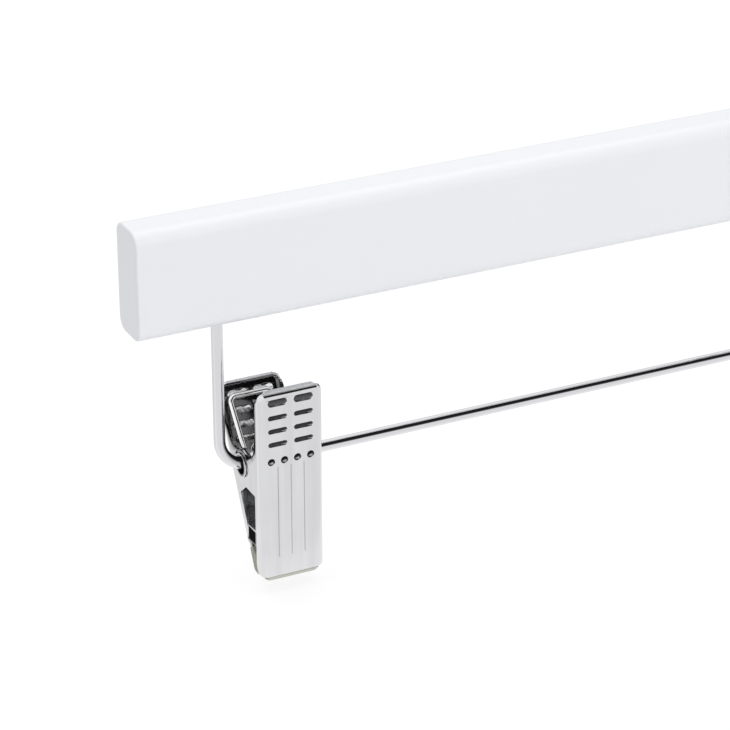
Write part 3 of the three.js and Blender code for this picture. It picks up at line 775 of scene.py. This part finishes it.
def blank_outline(handle, ear_fall, flange, flange_tip, tip_corner, has_cheek):
    """The flat blank's edge, up its right side from the tip to the lip and down its left side."""
    pivot = developed(PIVOT_OFFSET)
    tip = developed(flange_tip)
    edge = arc(tip - tip_corner[0], tip_corner[1] - JAW_REACH, *tip_corner, -90, 0, 14)
    if has_cheek:
        edge += [(tip, -CHEEK_FOOT), (developed(CHEEK_DEPTH), CHEEK_RIM - CHEEK_FOOT)]
        edge += [(developed(CHEEK_DEPTH), -CHEEK_TOP), (developed(flange), CHEEK_RIM - CHEEK_TOP)]
    else:
        edge += [(tip, -FLANGE_STEP - flange), (developed(flange), -FLANGE_STEP)]
    edge.append((developed(flange), -EAR_FOOT - ear_fall))
    foot_turn = math.radians(EAR_ARC[0])
    foot = (EAR_RADIUS + EAR_FOOT * math.sin(foot_turn)) / math.cos(foot_turn)
    edge.append((pivot + foot, -EAR_FOOT))
    ear = arc(pivot, 0, EAR_RADIUS, EAR_RADIUS, *EAR_ARC, 40)
    edge += ear
    shoulder = Vector((developed(FLANGE_HANDLE + SHEET), EAR_RISE))
    edge += swept(Vector(ear[-1]), Vector((developed(flange), EAR_RADIUS)), shoulder, 14)
    edge.append((developed(FLANGE_HANDLE), EAR_RISE + FLANGE_HANDLE))
    neck = Vector((developed(FLANGE_HANDLE - SHEET / 2), handle - FLANGE_TOP))
    edge.append(tuple(neck))
    corner = Vector((jaw_half - TOP_CORNER, handle - TOP_CORNER))
    brim = []
    for step in range(CORNER_STEPS + 1):
        turn = math.pi / 2 * step / CORNER_STEPS
        flat = corner_flat(turn)
        reach = flat + (TOP_CORNER - flat) * (BRIM_SPREAD + BRIM_FLARE * step / CORNER_STEPS)
        brim.append(corner + reach * Vector((math.cos(turn), math.sin(turn))))
    edge += swept(neck, Vector((neck.x - NECK_PULL, corner.y - NECK_DROP)), brim[0], 8)
    edge += [tuple(point) for point in brim[1:]]
    lip_end = brim[-1]
    lip_rise = handle - lip_height + LIP_LENGTH - lip_end.y
    edge += arc(lip_end.x - LIP_END, lip_end.y, LIP_END, lip_rise, 0, 90, 12)[1:]
    return edge + [(-x, y) for x, y in reversed(edge)]


def stadium(x, y, length, height):
    radius = height / 2
    reach = length / 2 - radius
    return (arc(x + reach, y, radius, radius, -90, 90, 12)
            + arc(x - reach, y, radius, radius, 90, 270, 12))


def pressed_marks(top):
    """The slots and dots pressed into a face: place, length, height, depth and wall."""
    marks = []
    for side in (-1, 1):
        x = side * SLOT_SPREAD / 2
        y = top - TALL_SLOT_DROP
        marks.append((x, y, SLOT_LENGTH, TALL_SLOT_HEIGHT, TALL_SLOT_DEPTH, SLOT_WALL))
        for row in range(SLOT_ROWS):
            y = top - SLOT_DROP - row * SLOT_PITCH
            marks.append((x, y, SLOT_LENGTH, SLOT_HEIGHT, SLOT_DEPTH, SLOT_WALL))
    for dot in range(DOT_COUNT):
        x = (dot - (DOT_COUNT - 1) / 2) * DOT_PITCH
        marks.append((x, top - DOT_DROP, 2 * DOT_RADIUS, 2 * DOT_RADIUS, DOT_DEPTH, DOT_WALL))
    return marks


def flat_blank(name, outlines):
    """A flat sheet with these outlines, of which each one inside another cuts a hole or fills it."""
    line = new_curve(name, "2D").data
    line.fill_mode = "FRONT"
    for outline in outlines:
        spline = line.splines.new("POLY")
        spline.points.add(len(outline) - 1)
        spline.use_cyclic_u = True
        for place, (x, y) in zip(spline.points, outline):
            place.co = (x, y, 0, 1)
    bpy.ops.object.convert(target="MESH")
    return bpy.context.object


def in_mark(mark, point):
    x, y, length, height = mark[:4]
    beside = abs(point.x - x) - length / 2
    above = abs(point.y - y) - height / 2
    return max(beside, above) < MARK_MARGIN


def close_marks(piece, marks):
    """Joins each mark's floor to the face round it with a strip of wall."""
    alone(piece)
    bpy.ops.object.mode_set(mode="EDIT")
    for mark in marks:
        pick_edges(piece, lambda edge, a, b: edge.is_boundary and in_mark(mark, (a + b) / 2))
        bpy.ops.mesh.bridge_edge_loops()
    bpy.ops.object.mode_set(mode="OBJECT")


def score(piece, across, heights):
    """Cuts fold lines into a flat blank, so that it can bend there."""
    alone(piece)
    bpy.ops.object.mode_set(mode="EDIT")
    for x in across:
        bpy.ops.mesh.select_all(action="SELECT")
        bpy.ops.mesh.bisect(plane_co=(x, 0, 0), plane_no=(1, 0, 0))
    for y in heights:
        bpy.ops.mesh.select_all(action="SELECT")
        bpy.ops.mesh.bisect(plane_co=(0, y, 0), plane_no=(0, 1, 0))
    bpy.ops.mesh.select_all(action="SELECT")
    bpy.ops.mesh.remove_doubles(threshold=BLANK_WELD)
    bpy.ops.object.mode_set(mode="OBJECT")


def score_lines(handle, flange, has_cheek):
    """Where a blank is scored, across and up it: at its folds, rolled edge, grooves and tabs."""
    folds = [flat_half + fold_length * step / FOLD_STEPS for step in range(FOLD_STEPS + 1)]
    folds += [jaw_half - TOP_CORNER + CORNER_ACROSS * step for step in range(CORNER_SCORES)]
    folds += [flat_half - FOLD_MARGIN, flat_half + fold_length + FOLD_MARGIN]
    across = [side * fold for side in (-1, 1) for fold in folds]
    for groove in range(1, DOT_COUNT):
        middle = (groove - DOT_COUNT / 2) * DOT_PITCH
        across += [middle + GROOVE_HALF * step / 2 for step in range(-2, 3)]
    lip_start = handle - lip_height
    heights = [lip_start + LIP_LENGTH * step / LIP_STEPS for step in range(LIP_STEPS)]
    heights += [handle - TOP_CORNER + CORNER_UP * step for step in range(CORNER_SCORES)]
    heights += [lip_start - LIP_MARGIN, handle - FLANGE_TOP]
    if has_cheek:
        heights += [-CHEEK_TOP - CHEEK_RIM, 2 * CHEEK_RIM - CHEEK_FOOT]
        cheek = [developed(flange + CHEEK_RIM), developed(CHEEK_DEPTH - CHEEK_RIM)]
        across += [side * place for side in (-1, 1) for place in cheek]
    for step in range(GROOVE_STEPS + 1):
        heights += [handle - GROOVE_DROP - GROOVE_FADE * step / GROOVE_STEPS]
        heights += [GROOVE_END - JAW_REACH + GROOVE_FADE * step / GROOVE_STEPS]
    return across, heights


def rim_points(piece):
    """The points on a blank's outer edge and round its holes."""
    mesh = bmesh.new()
    mesh.from_mesh(piece.data)
    rim = {corner.index for edge in mesh.edges if edge.is_boundary for corner in edge.verts}
    mesh.free()
    return rim


def ease(value, start, end):
    share = portion(value, start, end)
    return share * share * (3 - 2 * share)


def groove_share(x, height, handle):
    """How far a point lies in one of the grooves, which fade out at both ends."""
    top = handle - GROOVE_DROP
    bottom = GROOVE_END - JAW_REACH
    along = ease(height, bottom, bottom + GROOVE_FADE) * (1 - ease(height, top - GROOVE_FADE, top))
    for groove in range(1, DOT_COUNT):
        off = abs(x - (groove - DOT_COUNT / 2) * DOT_PITCH) / GROOVE_HALF
        if off < 1:
            return along * (1 - off)
    return 0


def mark_share(x, height, marks):
    """How far a point is pressed in by a flat dot, or by a slot, whose floor slopes out downwards."""
    for mark_x, mark_y, length, tall, depth, wall in marks:
        reach = length / 2 - tall / 2
        across = max(abs(x - mark_x) - reach, 0)
        inside = tall / 2 - math.hypot(across, height - mark_y)
        if inside > 0:
            rise = 1 if length == tall else (height - mark_y) / tall + 0.5
            floor = SLOT_FLOOR_LOW + (1 - SLOT_FLOOR_LOW) * rise
            return depth * min(inside / wall, 1) * floor
    return 0


def folded(x, height, handle):
    """Where a point of the flat blank lands once its sides are folded and its top is rolled."""
    across = abs(x)
    corner = Vector((jaw_half - TOP_CORNER, handle - TOP_CORNER))
    lip_start = handle - lip_height
    if height <= corner.y:
        start = Vector((flat_half, height))
        heading = Vector((1, 0))
        rolled = 0
        past = across - flat_half
    elif across <= corner.x:
        start = Vector((across, lip_start))
        heading = Vector((0, 1))
        rolled = 1
        past = height - lip_start
    else:
        arm = Vector((across, height)) - corner
        turn = math.atan2(arm.y, arm.x)
        heading = Vector((math.cos(turn), math.sin(turn)))
        start = corner + heading * corner_flat(turn)
        rolled = 2 * turn / math.pi
        past = arm.length - corner_flat(turn)
    if past <= 0:
        return Vector((x, -PIVOT_OFFSET, height))
    bent = Vector(fold_back(past)).lerp(Vector(roll_back(past)), rolled)
    bent_place = start + heading * bent.x
    return Vector((math.copysign(bent_place.x, x), bent.y - PIVOT_OFFSET, bent_place.y))


def face_shade(x, above_dot, depth, groove):
    """The painted shade on the face: in the slots, in a crescent on each dot and in the grooves."""
    shade = SLOT_SHADE * min(SLOT_ONSET * depth, SLOT_SHALLOW + (1 - SLOT_SHALLOW) * depth)
    if abs(above_dot) < DOT_BAND * DOT_RADIUS:
        beside_dot = x - (math.floor(x / DOT_PITCH) + 0.5) * DOT_PITCH
        shade = min(DOT_ONSET * depth, 1) * ease(above_dot - beside_dot, *DOT_CRESCENT)
    return max(shade, GROOVE_SHADE * groove)


def jaw_sheet(name, handle, mark_fall, ear_fall, flange, flange_tip, tip_corner, inside_shade, has_cheek):
    """A jaw about its pivot: blanked, pressed, scored, folded, given its thickness and its painted
    shade.
    """
    marks = pressed_marks(handle - mark_fall)
    outlines = [blank_outline(handle, ear_fall, flange, flange_tip, tip_corner, has_cheek)]
    last = 360 - 360 / EAR_FACETS
    for side in (-1, 1):
        pivot = side * developed(PIVOT_OFFSET)
        outlines.append(arc(pivot, 0, EAR_HOLE, EAR_HOLE, 0, last, EAR_FACETS - 1))
    for x, y, length, height, _, wall in marks:
        outlines.append(stadium(x, y, length, height))
        outlines.append(stadium(x, y, length - 2 * wall, height - 2 * wall))
    piece = flat_blank(name, outlines)
    close_marks(piece, marks)
    score(piece, *score_lines(handle, flange, has_cheek))
    rim = rim_points(piece)
    piece.data.attributes.new("painted_shade", "FLOAT", "POINT")
    piece.data.attributes.new("bulge_highlight", "FLOAT", "POINT")
    depths = []
    shades = []
    inside_shades = []
    for vertex in piece.data.vertices:
        x = vertex.co.x
        height = vertex.co.y
        pressed = mark_share(x, height, marks)
        groove = groove_share(x, height, handle)
        depth = min(pressed / SLOT_DEPTH, 1)
        shade = face_shade(x, height - handle + mark_fall + DOT_DROP, depth, groove)
        if vertex.index in rim:
            # Painted shade: a dark line along the flanges' cut edges.
            if abs(x) > developed(FOLD_RADIUS) and EDGE_LOW < height < EDGE_HIGH:
                shade = EDGE_SHADE
        elif has_cheek and abs(x) > developed(flange + CHEEK_EDGE):
            if -CHEEK_FOOT < height < -CHEEK_TOP:
                # Painted shade: the front jaw's tab between the jaws is matt black.
                shade = 1
        # Painted shade inside the clip on the jaw's inner face: lighter towards the tips, left off the
        # lip and bulges.
        inside = 0
        if height < handle - lip_height:
            inside = inside_shade * (INSIDE_SHADE_LOW + (1 - INSIDE_SHADE_LOW) * ease(height, *INSIDE_SHADE_SPAN))
        depths.append(depth)
        shades.append(shade)
        inside_shades.append(inside * (1 - depth))
        place = folded(x, height, handle)
        place.y += pressed + GROOVE_DEPTH * groove
        vertex.co = place * MM
    apply_modifier(piece, "SOLIDIFY", thickness=SHEET * MM, offset=-1)
    # The outer face holds painted shade; the inner face holds painted shade inside the clip and a
    # painted highlight on its bulges.
    painted_shade = piece.data.attributes["painted_shade"].data
    bulge_highlight = piece.data.attributes["bulge_highlight"].data
    for index, depth in enumerate(depths):
        behind = len(depths) + index
        painted_shade[index].value = shades[index]
        painted_shade[behind].value = inside_shades[index]
        bulge_highlight[behind].value = depth
    break_edges(piece, EDGE_BREAK, segments=3, degrees=75)
    smooth(piece, degrees=40)
    apply_modifier(piece, "WEIGHTED_NORMAL", keep_sharp=True)
    return piece


chromed_sheet, shader, place = new_finish("chromed_sheet", Metallic=1)
rolling = grain(place, scale=420, stretch=(1, 1, 0.05))
haze = grain(place, scale=130)
# The stored share darkens the chrome and past BLACK_FROM turns it matt black: painted shade.
painted_shade = stored(place, "painted_shade")
bright = (rolling * 0.7 + haze * 0.3).shade(*SHEET_TONES)
# Painted highlight: the bulges on the jaw's inner face are painted near white.
bright = stored(place, "bulge_highlight").shade(bright, BULGE_HIGHLIGHT_TONE)
painted_shade.shade(bright, PAINTED_SHADE_TONE).into(shader, "Base Color")
(0.06 + rolling * 0.07 + haze * 0.05).into(shader, "Roughness")
relief(rolling + haze * 0.6, strength=0.12, distance=0.00004).into(shader, "Normal")
blacken(chromed_sheet, shader, painted_shade.portion(BLACK_FROM, 1))

facing_back = Matrix.Rotation(-JAW_ANGLE, 4, "X") @ Matrix.Rotation(math.pi, 4, "Z")
to_left = Matrix.Translation((-STAGGER / 2 * MM, 0, 0))
to_right = Matrix.Translation((STAGGER / 2 * MM, 0, 0))
# The painted shade on each jaw's inner face is weak on the front jaw and strong on the rear one.
front_sheet = jaw_sheet(
    "front_jaw_sheet", FRONT_HANDLE, mark_fall=0, ear_fall=0.3, flange=2.3, flange_tip=2,
    tip_corner=(3.9, 3.9), inside_shade=0.08, has_cheek=True)
front_sheet.data.transform(to_left)
rear_sheet = jaw_sheet(
    "rear_jaw_sheet", REAR_HANDLE, mark_fall=0.8, ear_fall=1.8, flange=3.1, flange_tip=0.25,
    tip_corner=(4.8, 7), inside_shade=0.8, has_cheek=False)
rear_sheet.data.transform(to_right @ facing_back)
pivots = {}
for joint in frame["joints"]:
    if joint["name"].endswith("_swing"):
        pivots[joint["name"].removesuffix("_swing")] = Vector(joint["pos_m"])


def hang(pattern, name, material, node_name, body_name):
    """Puts a copy of a clip's piece, drawn about the pivot, on each of the two clips."""
    for side, pivot in pivots.items():
        alone(pattern)
        bpy.ops.object.duplicate()
        piece = bpy.context.object
        piece.name = f"{side}_{name}"
        piece.data = piece.data.copy()
        piece.data.transform(Matrix.Translation(pivot))
        piece.data.materials.append(material)
        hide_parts(f"{side}_{node_name}")
        if body_name:
            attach(piece, f"{side}_{body_name}")
    bpy.data.objects.remove(pattern)


hang(front_sheet, "front_sheet", chromed_sheet, "front_jaw", "front")
hang(rear_sheet, "rear_sheet", chromed_sheet, "rear_jaw", "rear")


# The grip pads: soft vinyl blocks glued behind the jaws' tips, ribbed across the grip so that cloth
# doesn't slip, each with a lip that hooks under the metal's lower edge and carries painted light, a
# lighter tone.
PAD_LIP = 0.75
PAD_TOP_THICKNESS = 1.8
PAD_SHOULDER = 2.5
PAD_GAP = 0.3
RIB_COUNT = 6
RIB_DEPTH = 0.35
RIB_SHAPE = ((0.15, 0), (0.4, 1), (0.75, 1))
PAD_CORNER = 0.0022
PAD_ROUND = 0.00018
FRONT_PAD_HEIGHT = 7.4
REAR_PAD_HEIGHT = 6.2
VINYL_TONES = ((0.26, 0.26, 0.2, 1), (0.4, 0.4, 0.33, 1))
LIP_LIGHT_TONE = (0.6, 0.59, 0.53, 1)


def pad_block(name, pad_height, half):
    """A pad about its clip's pivot: its side outline, drawn out to its width, with rounded corners."""
    back = SHEET + PAD_GAP - PIVOT_OFFSET
    lip = SHEET / 2 - PIVOT_OFFSET
    top = pad_height - JAW_REACH
    under = -JAW_REACH - PAD_GAP
    bottom = under - PAD_LIP
    slope = math.tan(JAW_ANGLE / 2)
    shoulder = top - PAD_SHOULDER
    grip = [(slope * bottom - PAD_GAP / 2, bottom)]
    for rib in range(RIB_COUNT):
        for share, dip in RIB_SHAPE:
            height = bottom + (shoulder - bottom) * (rib + share) / RIB_COUNT
            grip.append((slope * height - PAD_GAP / 2 - dip * RIB_DEPTH, height))
    grip.append((slope * shoulder - PAD_GAP / 2, shoulder))
    outline = [(back, top), (back, under), (lip, under), (lip, bottom)]
    outline += [*grip, (back + PAD_TOP_THICKNESS, top)]
    piece = flat_blank(name, [outline])
    bpy.ops.object.mode_set(mode="EDIT")
    bpy.ops.mesh.select_all(action="SELECT")
    bpy.ops.mesh.dissolve_limited(angle_limit=math.radians(1))
    bpy.ops.mesh.select_all(action="SELECT")
    bpy.ops.mesh.extrude_region_move(TRANSFORM_OT_translate={"value": (0, 0, 2 * half)})
    bpy.ops.object.mode_set(mode="OBJECT")
    stand = Matrix(((0, 0, 1, -half), (1, 0, 0, 0), (0, 1, 0, 0), (0, 0, 0, 1)))
    piece.data.transform(Matrix.Scale(MM, 4) @ stand)
    bpy.ops.object.mode_set(mode="EDIT")
    bpy.ops.mesh.select_all(action="SELECT")
    bpy.ops.mesh.normals_make_consistent(inside=False)
    bpy.ops.object.mode_set(mode="OBJECT")
    span = Vector((2 * half, 2 * PIVOT_OFFSET, 3 * pad_height)) * MM
    middle = Vector((0, -PIVOT_OFFSET, bottom + 1.5 * pad_height)) * MM
    bpy.ops.object.select_all(action="DESELECT")
    bpy.ops.mesh.primitive_cube_add(size=1, location=middle, scale=span)
    corners = bpy.context.object
    bpy.ops.object.transform_apply(location=True, rotation=False, scale=True)
    bpy.ops.object.mode_set(mode="EDIT")
    pick_edges(corners, lambda edge, a, b: abs(a.y - b.y) > MM and a.z < middle.z)
    bpy.ops.mesh.bevel(offset=PAD_CORNER, segments=8, affect="EDGES")
    bpy.ops.object.mode_set(mode="OBJECT")
    apply_modifier(piece, "BOOLEAN", operation="INTERSECT", object=corners, solver="EXACT")
    bpy.data.objects.remove(corners)
    break_edges(piece, PAD_ROUND, segments=3, degrees=25)
    smooth(piece, degrees=50)
    # Painted light: the lip below the metal's edge is marked for a lighter tone.
    lip_light = piece.data.attributes.new("lip_light", "FLOAT", "POINT")
    for vertex in piece.data.vertices:
        lip_light.data[vertex.index].value = vertex.co.z < (-JAW_REACH - PAD_GAP / 2) * MM
    return piece


soft_vinyl, shader, place = new_finish(
    "soft_vinyl", Subsurface_Weight=0.25, Subsurface_Radius=(0.002, 0.002, 0.0015),
    Specular_IOR_Level=0.45)
cloud = grain(place, scale=260, detail=4)
speck = grain(place, scale=2400, detail=2)
body = (cloud * 0.8 + speck * 0.2).shade(*VINYL_TONES)
# The lip takes its painted light here.
stored(place, "lip_light").shade(body, LIP_LIGHT_TONE).into(shader, "Base Color")
(0.38 + speck * 0.2).into(shader, "Roughness")
relief(speck * 0.5 + cloud, strength=0.2, distance=0.00006).into(shader, "Normal")

front_block = pad_block("front_pad_block", FRONT_PAD_HEIGHT, jaw_half - SHEET - PAD_GAP)
front_block.data.transform(to_left)
rear_block = pad_block("rear_pad_block", REAR_PAD_HEIGHT, jaw_half - PAD_GAP)
rear_block.data.transform(to_right @ facing_back)
hang(front_block, "front_grip", soft_vinyl, "front_pad", "front")
hang(rear_block, "rear_grip", soft_vinyl, "rear_pad", "rear")


# The pivot: a short blackened steel tube that rides on the rail and through all four ears, with a
# rim rolled out at each end that keeps the jaws on it and is rubbed bright.
TUBE_BORE = 0.0022
TUBE_RADIUS = 0.00285
TUBE_RIM = 0.00012
TUBE_ROUND = 0.00004
TUBE_SINK = 0.00018
RIM_SPREAD = 0.00017
BORE_EDGE = 0.0002
BLACK_STEEL_TONES = ((0.02, 0.02, 0.022, 1), (0.045, 0.045, 0.048, 1))
RUBBED_TONE = (0.85, 0.85, 0.87, 1)

tube_low, tube_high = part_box("left_pivot_tube")
rim_radius = TUBE_RADIUS + RIM_SPREAD
tube_half = (tube_high.x - tube_low.x) / 2 - TUBE_SINK
tube = turned("pivot_tube_pattern", [
    (TUBE_BORE, -tube_half), (rim_radius, -tube_half), (rim_radius, TUBE_RIM - tube_half),
    (TUBE_RADIUS, TUBE_RIM - tube_half), (TUBE_RADIUS, tube_half - TUBE_RIM),
    (rim_radius, tube_half - TUBE_RIM), (rim_radius, tube_half), (TUBE_BORE, tube_half),
], X_AXIS, TUBE_ROUND)
worn = tube.data.attributes.new("worn", "FLOAT", "POINT")
for vertex in tube.data.vertices:
    at_end = abs(vertex.co.x) > tube_half - 1.5 * TUBE_RIM
    outside = math.hypot(vertex.co.y, vertex.co.z) > TUBE_BORE + BORE_EDGE
    worn.data[vertex.index].value = at_end and outside

black_steel, shader, place = new_finish("black_steel", Metallic=1)
haze = grain(place, scale=700)
blackened = haze.shade(*BLACK_STEEL_TONES)
stored(place, "worn").shade(blackened, RUBBED_TONE).into(shader, "Base Color")
(0.2 + haze * 0.2).into(shader, "Roughness")
relief(haze, strength=0.1, distance=0.00003).into(shader, "Normal")
hang(tube, "rolled_tube", black_steel, "pivot_tube", "pivot")


# The spring: one bright wire with a coil on the tube at each side, a bridge that presses the rear
# handle outwards and two tips that press the front one.
SPRING_WIRE = 1.4
COIL_RADIUS = 4.05
COIL_TURNS = 2
FRONT_LEG = 11.5
REAR_LEG = 16.3
BRIDGE = 11.2
TIPS = 2.8
BRIDGE_BEND = 1.6
LEG_GAP = 0.42
TURN_STEPS = 40
BRIDGE_STEPS = 12
LEG_STEP = 2
SPRING_FACETS = 6
NICKEL_TONES = ((0.93, 0.93, 0.935, 1), (0.98, 0.98, 0.98, 1))


def leg_line(rise):
    """Where a leg rests on its handle, the angle at which it leaves the coil, and its length."""
    seat = Vector((SHEET + LEG_GAP + SPRING_WIRE / 2 - PIVOT_OFFSET, rise))
    angle = math.atan2(seat.y, seat.x) + math.acos(COIL_RADIUS / seat.length)
    return seat, angle, math.sqrt(seat.length_squared - COIL_RADIUS ** 2)


front_seat, front_angle, front_length = leg_line(FRONT_LEG)
_, rear_angle, rear_length = leg_line(REAR_LEG)
sweep = 3 * math.pi - rear_angle - JAW_ANGLE - front_angle + 2 * math.pi * COIL_TURNS
climb = (BRIDGE - TIPS) / 2
coil_steps = round(sweep / (2 * math.pi) * TURN_STEPS)
path = [Vector((-TIPS / 2, front_seat.x, front_seat.y))]
leave = Vector((-TIPS / 2, COIL_RADIUS * math.cos(front_angle), COIL_RADIUS * math.sin(front_angle)))
run(path, (leave - path[0]).normalized(), front_length, LEG_STEP)
curl(path, Vector(), X_AXIS, sweep, coil_steps, -climb)
radial = path[-1].copy()
radial.x = 0
rear_heading = X_AXIS.cross(radial).normalized()
run(path, rear_heading, rear_length - BRIDGE_BEND, LEG_STEP)
bridge_axis = rear_heading.cross(X_AXIS).normalized()
centre = path[-1] + X_AXIS * BRIDGE_BEND
curl(path, centre, bridge_axis, math.pi / 2, BRIDGE_STEPS)
run(path, X_AXIS, BRIDGE - 2 * BRIDGE_BEND, LEG_STEP)
curl(path, Vector((-centre.x, centre.y, centre.z)), bridge_axis, math.pi / 2, BRIDGE_STEPS)
run(path, -rear_heading, rear_length - BRIDGE_BEND, LEG_STEP)
curl(path, Vector(), X_AXIS, -sweep, coil_steps, -climb)
run(path, (path[0] - leave).normalized(), front_length, LEG_STEP)
spring = wire("spring_pattern", [point * MM for point in path], SPRING_WIRE * MM, SPRING_FACETS)

spring_wire, shader, place = new_finish("spring_wire", Metallic=1)
haze = grain(place, scale=400)
haze.shade(*NICKEL_TONES).into(shader, "Base Color")
(0.07 + haze * 0.05).into(shader, "Roughness")
relief(haze, strength=0.08, distance=0.00004).into(shader, "Normal")
hang(spring, "torsion_spring", spring_wire, "spring", None)
for side, pivot in pivots.items():
    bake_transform(bpy.data.objects[f"{side}_torsion_spring"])
